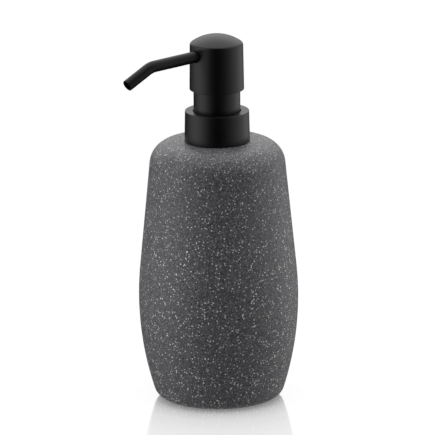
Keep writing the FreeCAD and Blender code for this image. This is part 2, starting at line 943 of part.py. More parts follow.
spout_tube = new_body("spout_tube")
route = new_sketch(spout_tube, "route", "YZ_Plane")
tip_drop = (d.spout_tip_reach - d.spout_bend_reach) * tangent(d.spout_slope)
tip_level = route_level(d.spout_bend_reach) - tip_drop
start_point = Vector(-d.spout_start.value, route_level(d.spout_start).value, 0)
corner_point = Vector(-d.spout_bend_reach.value, route_level(d.spout_bend_reach).value, 0)
tip_point = Vector(-d.spout_tip_reach.value, tip_level.value, 0)
first_run = (corner_point - start_point).normalize()
last_run = (tip_point - corner_point).normalize()
half_turn = first_run.getAngle(last_run) / 2
cut_back = d.spout_bend_radius.value * math.tan(half_turn)
bend_start = corner_point - first_run * cut_back
bend_end = corner_point + last_run * cut_back
inward = (last_run - first_run).normalize()
bend_centre = corner_point + inward * (d.spout_bend_radius.value / math.cos(half_turn))
bend_middle = bend_centre - inward * d.spout_bend_radius.value
# The sketcher turns arcs counter-clockwise, and this bend is drawn from the first run to the last.
route.addGeometry(
    [
        Part.LineSegment(start_point, bend_start),
        Part.Arc(bend_start, bend_middle, bend_end),
        Part.LineSegment(bend_end, tip_point),
    ],
    False,
)
route.addGeometry(Part.Point(corner_point), True)
tie(route, "Tangent", 0, 2, 1, 1)
tie(route, "Tangent", 1, 2, 2, 1)
place_point(route, 0, 1, -d.spout_start, route_level(d.spout_start))
place_point(route, 2, 2, -d.spout_tip_reach, tip_level)
place_point(route, 3, 1, -d.spout_bend_reach, route_level(d.spout_bend_reach))
tie(route, "PointOnObject", 3, 1, 0)
tie(route, "PointOnObject", 3, 1, 2)
bind(route, "Radius", 1, d.spout_bend_radius)
route.Visibility = False
doc.recompute()
tube = spout_tube.newObject("PartDesign::AdditivePipe", "spout_tube_pipe")
spout_bore = d.spout_radius - d.spout_wall
tube.Profile = section_on(spout_tube, "pipe", route, [d.spout_radius, spout_bore])
tube.Spine = (route, ["Edge1", "Edge2", "Edge3"])
doc.recompute()

# Head: a smooth cap over a core that joins the stem to the spout

head_core = new_body("head_core")
core_disc_radius = head_inner - d.core_fit
stem_socket = d.stem_radius + d.stem_fit
turn(
    head_core,
    "boss",
    [
        (stem_socket, boss_foot),
        (boss_radius, boss_foot),
        (boss_radius, core_disc_foot),
        (core_disc_radius, core_disc_foot),
        (core_disc_radius, core_disc_top),
        (0, core_disc_top),
        (0, spout_level + spout_bore),
        (stem_bore, spout_level + spout_bore),
        (stem_bore, socket_top),
        (stem_socket, socket_top),
    ],
)
side_hole(head_core, "channel", spout_bore, 0, core_disc_radius + d.spout_wall)
side_hole(
    head_core, "spout_socket", d.spout_radius + d.spout_fit, d.spout_start, core_disc_radius + d.spout_wall
)

head_shell = new_body("head_shell")
cap_sketch = new_sketch(head_shell, "cap", "XZ_Plane")


def dome_arc(radius, across):
    """The arc of a dome from its edge up to the axis."""
    circle = Part.Circle(Vector(0, dome_centre.value, 0), Vector(0, 0, 1), radius.value)
    return Part.ArcOfCircle(circle, math.acos(across.value / radius.value), math.pi / 2)


outer_dome = dome_arc(d.dome_radius, head_top_radius)
inner_dome = dome_arc(inner_dome_radius, head_inner)
foot_outer = Vector(head_foot_radius.value, skirt_foot.value, 0)
foot_inner = Vector(head_inner.value, skirt_foot.value, 0)
cap_sketch.addGeometry(
    [
        Part.LineSegment(foot_outer, outer_dome.StartPoint),
        outer_dome,
        Part.LineSegment(outer_dome.EndPoint, inner_dome.EndPoint),
        inner_dome,
        Part.LineSegment(inner_dome.StartPoint, foot_inner),
        Part.LineSegment(foot_inner, foot_outer),
    ],
    False,
)
tie(cap_sketch, "Coincident", 0, 2, 1, 1)
tie(cap_sketch, "Coincident", 1, 2, 2, 1)
tie(cap_sketch, "Coincident", 2, 2, 3, 2)
tie(cap_sketch, "Coincident", 3, 1, 4, 1)
tie(cap_sketch, "Coincident", 4, 2, 5, 1)
tie(cap_sketch, "Coincident", 5, 2, 0, 1)
place_point(cap_sketch, 1, 3, 0, dome_centre)
tie(cap_sketch, "Coincident", 3, 3, 1, 3)
bind(cap_sketch, "Radius", 1, d.dome_radius)
bind(cap_sketch, "Radius", 3, inner_dome_radius)
tie(cap_sketch, "PointOnObject", 1, 2, -2)
tie(cap_sketch, "PointOnObject", 3, 2, -2)
bind(cap_sketch, "DistanceX", -1, 1, 0, 2, head_top_radius)
tie(cap_sketch, "Vertical", 4)
place_point(cap_sketch, 0, 1, head_foot_radius, skirt_foot)
place_point(cap_sketch, 4, 2, head_inner, skirt_foot)
turn_profile(head_shell, "PartDesign::Revolution", "cap", cap_sketch)
dome_edge = Size(outer_dome.StartPoint.y, "")
fillet(head_shell, "dome_edge", [(head_top_radius, dome_edge)], d.dome_edge_radius)
fillet(head_shell, "skirt_edge", [(head_foot_radius, skirt_foot)], d.skirt_edge_radius)
side_hole(
    head_shell,
    "spout_hole",
    d.spout_radius + d.spout_hole_gap,
    head_inner - d.head_wall,
    head_foot_radius + d.head_wall,
)

# Checks, then one file for each piece

doc.recompute()
pieces = [
    bottle,
    base_pad,
    neck_insert,
    neck_gasket,
    housing,
    inlet_ball,
    dip_tube,
    collar_core,
    collar_shell,
    chaplet,
    chaplet_sleeve,
    stem,
    piston_rod,
    piston,
    return_spring,
    spout_tube,
    head_core,
    head_shell,
]
for item in doc.Objects:
    faults = [word for word in item.State if word in ("Invalid", "Error")]
    if faults:
        raise RuntimeError(f"{item.Name} did not compute: {faults}")
    if item.isDerivedFrom("Sketcher::SketchObject") and not item.FullyConstrained:
        raise RuntimeError(f"{item.Name} is not fully constrained")
for piece in pieces:
    shape = piece.Shape
    if shape.isNull() or not shape.isValid() or shape.Volume <= 0:
        raise RuntimeError(f"{piece.Label} has no valid solid")
    if len(shape.Solids) != 1:
        raise RuntimeError(f"{piece.Label} has {len(shape.Solids)} solids")
for piece in pieces:
    piece.Shape.exportStep(f"parts/{piece.Label}.step")
    box = piece.Shape.BoundBox
    print(f"{piece.Label:15s} z {box.ZMin:7.2f} to {box.ZMax:7.2f}  volume {piece.Shape.Volume:9.1f}")
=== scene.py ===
import bmesh
import bpy
import json
import math
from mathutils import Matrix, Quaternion, Vector


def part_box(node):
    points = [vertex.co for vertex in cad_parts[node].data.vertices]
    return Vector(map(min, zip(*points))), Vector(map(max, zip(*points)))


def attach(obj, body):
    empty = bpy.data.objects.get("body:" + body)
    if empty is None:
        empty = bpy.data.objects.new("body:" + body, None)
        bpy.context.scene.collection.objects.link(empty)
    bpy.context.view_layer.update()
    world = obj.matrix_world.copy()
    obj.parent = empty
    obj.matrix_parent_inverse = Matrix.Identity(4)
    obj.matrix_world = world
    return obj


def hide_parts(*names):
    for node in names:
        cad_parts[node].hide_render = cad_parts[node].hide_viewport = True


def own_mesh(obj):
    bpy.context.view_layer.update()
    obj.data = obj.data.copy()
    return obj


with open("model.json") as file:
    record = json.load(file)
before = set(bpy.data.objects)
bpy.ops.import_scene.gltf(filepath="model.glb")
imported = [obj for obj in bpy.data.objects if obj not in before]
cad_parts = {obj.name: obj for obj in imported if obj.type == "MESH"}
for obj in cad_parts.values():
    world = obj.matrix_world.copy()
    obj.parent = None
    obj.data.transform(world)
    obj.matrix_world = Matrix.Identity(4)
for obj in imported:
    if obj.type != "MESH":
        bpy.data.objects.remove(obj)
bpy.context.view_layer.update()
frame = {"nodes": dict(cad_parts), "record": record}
nodes = frame["nodes"]
scene = bpy.context.scene
mm = 0.001
micron = 0.000001
weldDistance = 5 * micron
smoothAngle = 35


# Small helpers for node trees, meshes and pieces


def addNode(tree, kind, inputs=None, **settings):
    node = tree.nodes.new(kind)
    for key, value in settings.items():
        setattr(node, key, value)
    for key, value in (inputs or {}).items():
        if isinstance(value, bpy.types.NodeSocket):
            tree.links.new(value, node.inputs[key])
        else:
            node.inputs[key].default_value = value
    return node


def newTree(name, inputs):
    tree = bpy.data.node_groups.new(name, "GeometryNodeTree")
    tree.interface.new_socket("Geometry", in_out="INPUT", socket_type="NodeSocketGeometry")
    for label, kind in inputs:
        tree.interface.new_socket(label, in_out="INPUT", socket_type=f"NodeSocket{kind}")
    tree.interface.new_socket("Geometry", in_out="OUTPUT", socket_type="NodeSocketGeometry")
    return tree, tree.nodes.new("NodeGroupInput").outputs


def endTree(tree, geometry, finish):
    realised = addNode(tree, "GeometryNodeRealizeInstances", {"Geometry": geometry})
    coated = addNode(tree, "GeometryNodeSetMaterial", {"Geometry": realised.outputs[0], "Material": finish})
    addNode(tree, "NodeGroupOutput", {"Geometry": coated.outputs[0]})
    return tree


def newObject(name, vertices, edges, faces=()):
    mesh = bpy.data.meshes.new(name)
    mesh.from_pydata(vertices, edges, faces)
    piece = bpy.data.objects.new(name, mesh)
    scene.collection.objects.link(piece)
    return piece


def runTree(piece, tree, values):
    modifier = piece.modifiers.new(tree.name, "NODES")
    modifier.node_group = tree
    for socket in tree.interface.items_tree:
        if socket.in_out == "INPUT" and socket.name in values:
            modifier[socket.identifier] = values[socket.name]


def applyModifiers(piece):
    graph = bpy.context.evaluated_depsgraph_get()
    mesh = bpy.data.meshes.new_from_object(piece.evaluated_get(graph))
    piece.modifiers.clear()
    piece.data = mesh
    return mesh


def closeShape(piece, creaseAngle=smoothAngle):
    shape = bmesh.new()
    shape.from_mesh(piece.data)
    bmesh.ops.remove_doubles(shape, verts=shape.verts, dist=weldDistance)
    bmesh.ops.dissolve_degenerate(shape, edges=shape.edges, dist=micron)
    openEdges = sum(1 for edge in shape.edges if not edge.is_manifold)
    if shape.calc_volume(signed=True) < 0:
        bmesh.ops.reverse_faces(shape, faces=shape.faces)
    shape.to_mesh(piece.data)
    shape.free()
    piece.data.shade_smooth()
    piece.data.set_sharp_from_angle(angle=math.radians(creaseAngle))
    weighted = piece.modifiers.new("evenShading", "WEIGHTED_NORMAL")
    weighted.keep_sharp = True
    applyModifiers(piece)
    print(f"{piece.name}: {len(piece.data.polygons)} faces, {openEdges} open edges")


def settle(piece, body, replaced):
    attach(piece, body)
    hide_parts(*replaced)


# Camera and light

cameraSizes = {
    "azimuth": 52.0,
    "elevation": 14.9,
    "distance": 3.0,
    "lens": 494.8,
    "aimLevel": 0.0925,
    "roll": -0.5,
    "shift": -0.001,
    "sensor": 36,
    "near": 0.1,
    "far": 50,
}


def direction(azimuth, elevation):
    a, e = math.radians(azimuth), math.radians(elevation)
    return Vector((math.sin(a) * math.cos(e), -math.cos(a) * math.cos(e), math.sin(e)))


def makeCamera():
    lens = bpy.data.cameras.new("camera")
    lens.sensor_width = cameraSizes["sensor"]
    lens.lens = cameraSizes["lens"]
    lens.shift_x = cameraSizes["shift"]
    lens.clip_start = cameraSizes["near"]
    lens.clip_end = cameraSizes["far"]
    camera = bpy.data.objects.new("camera", lens)
    back = direction(cameraSizes["azimuth"], cameraSizes["elevation"])
    camera.location = Vector((0, 0, cameraSizes["aimLevel"])) + back * cameraSizes["distance"]
    camera.rotation_mode = "QUATERNION"
    level = (-back).to_track_quat("-Z", "Y")
    camera.rotation_quaternion = level @ Quaternion((0, 0, 1), math.radians(cameraSizes["roll"]))
    scene.collection.objects.link(camera)
    scene.camera = camera


# The light tent: how bright it is at each azimuth, turned from the camera's and negative to its left,
# a pale sweep that runs from the horizon behind the object to just past the zenith, and a dim glow from
# the floor.
tentLight = {
    "strength": 1.5,
    "sides": [
        (-180, 0.0),
        (-152, 0.02),
        (-135, 0.07),
        (-118, 0.26),
        (-104, 0.55),
        (-92, 0.86),
        (-78, 1.0),
        (-60, 0.84),
        (-42, 0.38),
        (-24, 0.08),
        (-6, 0.0),
        (12, 0.02),
        (29, 0.09),
        (47, 0.25),
        (67, 0.5),
        (89, 0.72),
        (116, 0.8),
        (135, 0.54),
        (150, 0.15),
        (180, 0.0),
    ],
    "sideTop": 0.9,
    "sideFoot": (0.7 / 3, 0.7),
    "sweepLevel": 1.25,
    "sweepFoot": 0.05,
    "sweepHorizon": 0.5,
    "sweepRise": (0.2, 0.6),
    "sweepEnd": 0.35,
    "sweepSides": (0.3, 0.85),
    "sweepLoss": 0.45,
    "floorGlow": 0.22,
    "glowLevel": 0.5,
    "softness": 0.08,
}


def ramp(tree, value, stops, low=0, high=1):
    scaled = addNode(tree, "ShaderNodeMapRange", {"Value": value, "From Min": low, "From Max": high})
    node = addNode(tree, "ShaderNodeValToRGB", {0: scaled.outputs[0]})
    elements = node.color_ramp.elements
    elements.remove(elements[1])
    for number, (place, tone) in enumerate(stops):
        spot = (place - low) / (high - low)
        element = elements[0] if number == 0 else elements.new(spot)
        element.position = spot
        element.color = tone if isinstance(tone, tuple) else (tone, tone, tone, 1)
    return node.outputs[0]


def combine(tree, operation, *values):
    return addNode(tree, "ShaderNodeMath", dict(enumerate(values)), operation=operation).outputs[0]


def fadeIn(tree, value, low, high):
    return addNode(
        tree,
        "ShaderNodeMapRange",
        {"Value": value, "From Min": low, "From Max": high},
        interpolation_type="SMOOTHSTEP",
    ).outputs[0]


def makeWorld():
    world = bpy.data.worlds.new("lightTent")
    world.use_nodes = True
    tree = world.node_tree
    toward = addNode(tree, "ShaderNodeTexCoord").outputs["Generated"]
    turn = (0, 0, -math.radians(cameraSizes["azimuth"]))
    turned = addNode(tree, "ShaderNodeMapping", {"Vector": toward, "Rotation": turn})
    across, away, up = addNode(tree, "ShaderNodeSeparateXYZ", {0: turned.outputs[0]}).outputs
    azimuth = combine(tree, "ARCTAN2", across, combine(tree, "MULTIPLY", away, -1.0))
    stops = [(math.radians(place), tone) for place, tone in tentLight["sides"]]
    sides = ramp(tree, azimuth, stops, -math.pi, math.pi)
    soft = tentLight["softness"]
    above = fadeIn(tree, up, tentLight["sideTop"] - soft, tentLight["sideTop"])
    below = fadeIn(tree, combine(tree, "MULTIPLY", up, -1.0), *tentLight["sideFoot"])
    beyond = combine(tree, "SUBTRACT", 1.0, combine(tree, "ADD", above, below))
    sides = combine(tree, "MULTIPLY", sides, beyond)
    foot = tentLight["sweepFoot"]
    risen = fadeIn(tree, up, foot - soft / 2, foot + soft / 2)
    past = combine(tree, "MULTIPLY_ADD", up, tentLight["sweepEnd"], away)
    behind = fadeIn(tree, past, -soft, soft)
    riseFrom, riseTo = tentLight["sweepRise"]
    brighter = addNode(
        tree,
        "ShaderNodeMapRange",
        {
            "Value": up,
            "From Min": riseFrom,
            "From Max": riseTo,
            "To Min": tentLight["sweepHorizon"],
            "To Max": 1,
        },
    )
    edge = fadeIn(tree, combine(tree, "ABSOLUTE", across), *tentLight["sweepSides"])
    middle = combine(tree, "SUBTRACT", 1.0, combine(tree, "MULTIPLY", edge, tentLight["sweepLoss"]))
    shape = combine(tree, "MULTIPLY", combine(tree, "MULTIPLY", risen, behind), brighter.outputs[0])
    sweep = combine(tree, "MULTIPLY", shape, combine(tree, "MULTIPLY", middle, tentLight["sweepLevel"]))
    glowLevel = tentLight["glowLevel"]
    under = fadeIn(tree, up, -glowLevel - soft, -glowLevel + soft)
    glow = combine(tree, "MULTIPLY", combine(tree, "SUBTRACT", 1.0, under), tentLight["floorGlow"])
    light = combine(tree, "MAXIMUM", combine(tree, "MAXIMUM", sides, sweep), glow)
    light = combine(tree, "MULTIPLY", light, tentLight["strength"])
    rays = addNode(tree, "ShaderNodeLightPath")
    seen = rays.outputs["Is Camera Ray"]
    shade = addNode(tree, "ShaderNodeMix", {0: seen, 6: light, 7: (1, 1, 1, 1)}, data_type="RGBA")
    tree.links.new(shade.outputs[2], tree.nodes["Background"].inputs["Color"])
    scene.world = world
    scene.view_settings.view_transform = "Standard"


# The floor glows white and mirrors the object. The mirror weakens away from the foot, and near the foot it
# dims the glow: painted shade made of the object's reflection.
floorSizes = {
    "radius": 0.45,
    "sides": 96,
    "glow": 1.04,
    "blur": 0.09,
    "mirror": [
        (26 * mm, 0.85),
        (30 * mm, 0.74),
        (34 * mm, 0.54),
        (38 * mm, 0.43),
        (46 * mm, 0.32),
        (60 * mm, 0.25),
        (80 * mm, 0.19),
        (94 * mm, 0.15),
        (115 * mm, 0.07),
        (140 * mm, 0.02),
        (170 * mm, 0.0),
    ],
    "level": -0.05 * mm,
}


def makeFloor():
    sides = floorSizes["sides"]
    ring = [2 * math.pi * number / sides for number in range(sides)]
    radius = floorSizes["radius"]
    level = floorSizes["level"]
    corners = [(radius * math.cos(turn), radius * math.sin(turn), level) for turn in ring]
    floor = newObject("floor", corners, [], [range(sides)])
    material = bpy.data.materials.new("whiteFloor")
    material.use_nodes = True
    tree = material.node_tree
    tree.nodes.remove(tree.nodes["Principled BSDF"])
    place = addNode(tree, "ShaderNodeTexCoord").outputs["Object"]
    reach = addNode(tree, "ShaderNodeVectorMath", {0: place}, operation="LENGTH")
    # Painted shade: the mirror's share, set by distance from the foot, dims the white glow around the foot.
    share = ramp(tree, reach.outputs["Value"], floorSizes["mirror"], 0, floorSizes["mirror"][-1][0])
    plain = addNode(tree, "ShaderNodeEmission", {"Color": (1, 1, 1, 1), "Strength": floorSizes["glow"]})
    mirror = addNode(tree, "ShaderNodeBsdfGlossy", {"Roughness": floorSizes["blur"]})
    mixed = addNode(tree, "ShaderNodeMixShader", {0: share, 1: plain.outputs[0], 2: mirror.outputs[0]})
    tree.links.new(mixed.outputs[0], tree.nodes["Material Output"].inputs["Surface"])
    floor.data.materials.append(material)
    floor.visible_diffuse = False
    floor.visible_glossy = False


makeCamera()
makeWorld()
makeFloor()
print("studio: camera, light tent and floor")


# Finishes


def newFinish(name):
    material = bpy.data.materials.new(name)
    material.use_nodes = True
    tree = material.node_tree
    place = addNode(tree, "ShaderNodeTexCoord").outputs["Object"]
    return material, tree, tree.nodes["Principled BSDF"], place


def scaledPlace(tree, place, size, stretch=(1, 1, 1), turn=(0, 0, 0)):
    scale = [axis / size for axis in stretch]
    mapped = addNode(tree, "ShaderNodeMapping", {"Vector": place, "Scale": scale, "Rotation": turn})
    return mapped.outputs[0]


reliefStrength = 0.25


def addRelief(tree, shader, place, size, depth):
    grain = addNode(
        tree, "ShaderNodeTexNoise", {"Vector": scaledPlace(tree, place, size), "Scale": 1, "Detail": 2}
    )
    bump = addNode(
        tree,
        "ShaderNodeBump",
        {"Strength": reliefStrength, "Distance": depth, "Height": grain.outputs[0]},
    )
    tree.links.new(bump.outputs[0], shader.inputs["Normal"])
    return grain.outputs[0]


stoneFinish = {
    "tones": [
        (0.0, (0.03, 0.03, 0.032, 1)),
        (0.2, (0.068, 0.068, 0.073, 1)),
        (0.5, (0.105, 0.105, 0.112, 1)),
        (0.75, (0.14, 0.14, 0.149, 1)),
        (0.92, (0.2, 0.2, 0.21, 1)),
        (1.0, (0.38, 0.38, 0.395, 1)),
    ],
    "fleck": (1, 1, 1, 1),
    "grainSize": 0.42 * mm,
    "spots": [
        {"cell": 1.35 * mm, "radius": 0.28, "chance": 0.3, "stretch": (1, 1, 1), "turn": (0, 0, 0)},
        {"cell": 1.05 * mm, "radius": 0.28, "chance": 0.2, "stretch": (1, 1, 1), "turn": (0.4, 0.2, 0.9)},
        {"cell": 1.5 * mm, "radius": 0.18, "chance": 0.2, "stretch": (1, 1, 0.4), "turn": (0.6, 0.9, 0.2)},
    ],
    "leastSpot": 0.8,
    "softRim": 0.2,
    "dimmest": 0.8,
    "height": 130 * mm,
    "footShare": 3.0,
    "topShare": 0.6,
    "bodyGloss": 0.48,
    "fleckGloss": 0.4,
    "pitSize": 0.35 * mm,
    "pitDepth": 0.03 * mm,
}


def spotMask(tree, place, cell, radius, chance, stretch, turn):
    # Only some cells hold a spot. Each spot has its own size and brightness.
    where = scaledPlace(tree, place, cell, stretch, turn)
    cells = addNode(tree, "ShaderNodeTexVoronoi", {"Vector": where, "Scale": 1.0})
    lot, glow = addNode(tree, "ShaderNodeSeparateColor", {0: cells.outputs["Color"]}).outputs[:2]
    reach = addNode(
        tree,
        "ShaderNodeMapRange",
        {
            "Value": lot,
            "From Min": 1 - chance,
            "From Max": 1,
            "To Min": radius * stoneFinish["leastSpot"],
            "To Max": radius,
        },
    )
    chosen = combine(tree, "GREATER_THAN", lot, 1 - chance)
    inside = combine(tree, "SUBTRACT", reach.outputs[0], cells.outputs["Distance"])
    rim = radius * stoneFinish["softRim"]
    edge = addNode(tree, "ShaderNodeMapRange", {"Value": inside, "From Min": 0, "From Max": rim})
    dimmest = stoneFinish["dimmest"]
    bright = addNode(tree, "ShaderNodeMapRange", {"Value": glow, "To Min": dimmest, "To Max": 1})
    spot = combine(tree, "MULTIPLY", edge.outputs[0], chosen)
    return combine(tree, "MULTIPLY", spot, bright.outputs[0])


def makeStone():
    finish = stoneFinish
    material, tree, shader, place = newFinish("speckledStone")
    where = scaledPlace(tree, place, finish["grainSize"])
    grains = addNode(tree, "ShaderNodeTexVoronoi", {"Vector": where, "Scale": 1.0})
    lot = addNode(tree, "ShaderNodeSeparateColor", {0: grains.outputs["Color"]})
    body = ramp(tree, lot.outputs[0], finish["tones"])
    spots = [spotMask(tree, place, **sizes) for sizes in finish["spots"]]
    flecks = spots[0]
    for spot in spots[1:]:
        flecks = combine(tree, "MAXIMUM", flecks, spot)
    # The flecks stand out more toward the foot, which lightens the lower bottle.
    level = addNode(tree, "ShaderNodeSeparateXYZ", {0: place}).outputs[2]
    towardFoot = addNode(
        tree,
        "ShaderNodeMapRange",
        {
            "Value": level,
            "From Max": finish["height"],
            "To Min": finish["footShare"],
            "To Max": finish["topShare"],
        },
    )
    flecks = combine(tree, "MINIMUM", combine(tree, "MULTIPLY", flecks, towardFoot.outputs[0]), 1.0)
    colour = addNode(tree, "ShaderNodeMix", {0: flecks, 6: body, 7: finish["fleck"]}, data_type="RGBA")
    tree.links.new(colour.outputs[2], shader.inputs["Base Color"])
    roughness = addNode(
        tree,
        "ShaderNodeMapRange",
        {"Value": flecks, "To Min": finish["bodyGloss"], "To Max": finish["fleckGloss"]},
    )
    tree.links.new(roughness.outputs[0], shader.inputs["Roughness"])
    addRelief(tree, shader, place, finish["pitSize"], finish["pitDepth"])
    return material


# Even finishes: each is a colour with faint mottling, a roughness that wanders, and a fine relief.
plainFinishes = {
    "black_shell": {
        "colour": (0.0018, 0.0018, 0.002),
        "roughness": 0.33,
        "wander": 0.02,
        "grain": 0.25 * mm,
        "depth": 0.01 * mm,
        "more": {"Specular IOR Level": 0.37},
    },
    "black_tube": {
        "colour": (0.0018, 0.0018, 0.0019),
        "roughness": 0.38,
        "wander": 0.03,
        "grain": 0.2 * mm,
        "depth": 0.01 * mm,
        "more": {"Specular IOR Level": 0.2},
    },
    "black_inner": {
        "colour": (0.014, 0.014, 0.0145),
        "roughness": 0.42,
        "wander": 0.05,
        "grain": 0.5 * mm,
        "depth": 0.02 * mm,
        "more": {"Specular IOR Level": 0.45},
    },
    "rubber_pad": {
        "colour": (0.02, 0.02, 0.021),
        "roughness": 0.82,
        "wander": 0.06,
        "grain": 0.35 * mm,
        "depth": 0.06 * mm,
        "more": {"Specular IOR Level": 0.35},
    },
    "natural_plastic": {
        "colour": (0.74, 0.76, 0.75),
        "roughness": 0.38,
        "wander": 0.05,
        "grain": 0.9 * mm,
        "depth": 0.01 * mm,
        "more": {"Subsurface Weight": 0.5, "Subsurface Radius": (1, 1, 1), "Subsurface Scale": 0.8 * mm},
    },
    "clear_tube": {
        "colour": (0.83, 0.86, 0.87),
        "roughness": 0.2,
        "wander": 0.05,
        "grain": 1.4 * mm,
        "depth": 0.006 * mm,
        "more": {"Transmission Weight": 0.55, "IOR": 1.49},
    },
    "grey_seal": {
        "colour": (0.27, 0.28, 0.29),
        "roughness": 0.62,
        "wander": 0.06,
        "grain": 0.3 * mm,
        "depth": 0.02 * mm,
        "more": {"Specular IOR Level": 0.4},
    },
    "spring_steel": {
        "colour": (0.52, 0.51, 0.49),
        "roughness": 0.27,
        "wander": 0.07,
        "grain": 0.15 * mm,
        "depth": 0.004 * mm,
        "more": {"Metallic": 1.0},
    },
    "polished_steel": {
        "colour": (0.72, 0.72, 0.72),
        "roughness": 0.08,
        "wander": 0.03,
        "grain": 0.6 * mm,
        "depth": 0.001 * mm,
        "more": {"Metallic": 1.0},
    },
}


plainNoise = {"shades": (0.85, 1.15), "range": (0.3, 0.7), "patchSize": 9 * mm}


def makePlain(slot):
    finish = plainFinishes[slot]
    material, tree, shader, place = newFinish(slot)
    grain = addRelief(tree, shader, place, finish["grain"], finish["depth"])
    shades = [(*[part * share for part in finish["colour"]], 1) for share in plainNoise["shades"]]
    stops = list(zip(plainNoise["range"], shades))
    tree.links.new(ramp(tree, grain, stops), shader.inputs["Base Color"])
    where = scaledPlace(tree, place, plainNoise["patchSize"])
    patches = addNode(tree, "ShaderNodeTexNoise", {"Vector": where, "Scale": 1, "Detail": 3})
    least, most = plainNoise["range"]
    gloss = addNode(
        tree,
        "ShaderNodeMapRange",
        {
            "Value": patches.outputs[0],
            "From Min": least,
            "From Max": most,
            "To Min": finish["roughness"] - finish["wander"],
            "To Max": finish["roughness"] + finish["wander"],
        },
    )
    tree.links.new(gloss.outputs[0], shader.inputs["Roughness"])
    for name, value in finish["more"].items():
        shader.inputs[name].default_value = value
    return material


finishes = {slot: makePlain(slot) for slot in plainFinishes}
finishes["speckled_stone"] = makeStone()
print(f"finishes: {len(finishes)}")


# Turned pieces: an outline of corners, rounded and spun about the upright axis


def makeTurningTree():
    tree, given = newTree(
        "turning", [("Segments", "Int"), ("Axis Ring", "Float"), ("Weld", "Float"), ("Finish", "Material")]
    )
    radius = addNode(tree, "GeometryNodeInputNamedAttribute", {"Name": "edgeRadius"}, data_type="FLOAT")
    steps = addNode(tree, "GeometryNodeInputNamedAttribute", {"Name": "edgeSteps"}, data_type="INT")
    outline = addNode(tree, "GeometryNodeMeshToCurve", {"Mesh": given["Geometry"]})
    rounded = addNode(
        tree,
        "GeometryNodeFilletCurve",
        {"Curve": outline.outputs[0], "Radius": radius.outputs[0], "Count": steps.outputs[0]},
        mode="POLY",
    )
    ring = addNode(
        tree,
        "GeometryNodeCurvePrimitiveCircle",
        {"Resolution": given["Segments"], "Radius": given["Axis Ring"]},
        mode="RADIUS",
    )
    spun = addNode(
        tree,
        "GeometryNodeCurveToMesh",
        {"Curve": ring.outputs[0], "Profile Curve": rounded.outputs[0]},
    )
    welded = addNode(
        tree, "GeometryNodeMergeByDistance", {"Geometry": spun.outputs[0], "Distance": given["Weld"]}
    )
    return endTree(tree, welded.outputs[0], given["Finish"])


turningTree = makeTurningTree()
axisRing = 1 * mm


def turnPiece(name, corners, finish, segments, closed=False):
    # A corner is (radius, level), then its edge radius and the steps in that edge where it is rounded.
    # The ring's radius comes off each corner. The outline hangs below the ring, so levels turn over.
    points = [(radius - axisRing, -level, 0) for radius, level, *_ in corners]
    edges = [(number, number + 1) for number in range(len(points) - 1)]
    if closed:
        edges.append((len(points) - 1, 0))
    piece = newObject(name, points, edges)
    rounding = piece.data.attributes.new("edgeRadius", "FLOAT", "POINT")
    steps = piece.data.attributes.new("edgeSteps", "INT", "POINT")
    for number, corner in enumerate(corners):
        rounding.data[number].value = corner[2] if len(corner) > 2 else 0
        steps.data[number].value = corner[3] if len(corner) > 3 else 1
    runTree(
        piece,
        turningTree,
        {"Segments": segments, "Axis Ring": axisRing, "Weld": weldDistance, "Finish": finishes[finish]},
    )
    applyModifiers(piece)
    return piece


# Bottle

bottleSizes = {
    "bellyLevel": 52.6 * mm,
    "sideRadius": 158 * mm,
    "footRadius": 6.3 * mm,
    "shoulderTaper": 5.7,
    "shoulderRadius": 12 * mm,
    "wall": 5 * mm,
    "floorThickness": 6 * mm,
    "innerFootRadius": 7 * mm,
    "mouthRadius": 12.4 * mm,
    "mouthEdge": 0.8 * mm,
    "padGap": 0.3 * mm,
    "recessEdge": 0.4 * mm,
    "recessSteps": 4,
    "mouthSteps": 5,
    "footSteps": 14,
    "sideSteps": 72,
    "shoulderSteps": 24,
    "segments": 192,
}


# Where a line through the first point crosses a line through the second.
def meet(first, firstAngle, second, secondAngle):
    ax, ay = math.cos(firstAngle), math.sin(firstAngle)
    bx, by = math.cos(secondAngle), math.sin(secondAngle)
    along = ((second[0] - first[0]) * by - (second[1] - first[1]) * bx) / (ax * by - ay * bx)
    return first[0] + ax * along, first[1] + ay * along


def vesselCorners(foot, top, belly, side, shoulder, corner):
    # The side is one long arc. Its tangents at the foot and at the taper meet at a corner, and the
    # rounding of that corner is the arc again.
    taper = math.radians(bottleSizes["shoulderTaper"])
    centre = (belly - side, bottleSizes["bellyLevel"])
    drop = centre[1] - foot - corner
    footTurn = -math.asin(drop / (side - corner))
    footTouch = (centre[0] + side * math.cos(footTurn), centre[1] + side * math.sin(footTurn))
    taperTouch = (centre[0] + side * math.cos(taper), centre[1] + side * math.sin(taper))
    lower = footTurn + math.pi / 2
    upper = taper + math.pi / 2
    return [
        (*meet((0, foot), 0, footTouch, lower), corner, bottleSizes["footSteps"]),
        (*meet(footTouch, lower, taperTouch, upper), side, bottleSizes["sideSteps"]),
        (*meet((0, top), 0, taperTouch, upper), shoulder, bottleSizes["shoulderSteps"]),
    ]


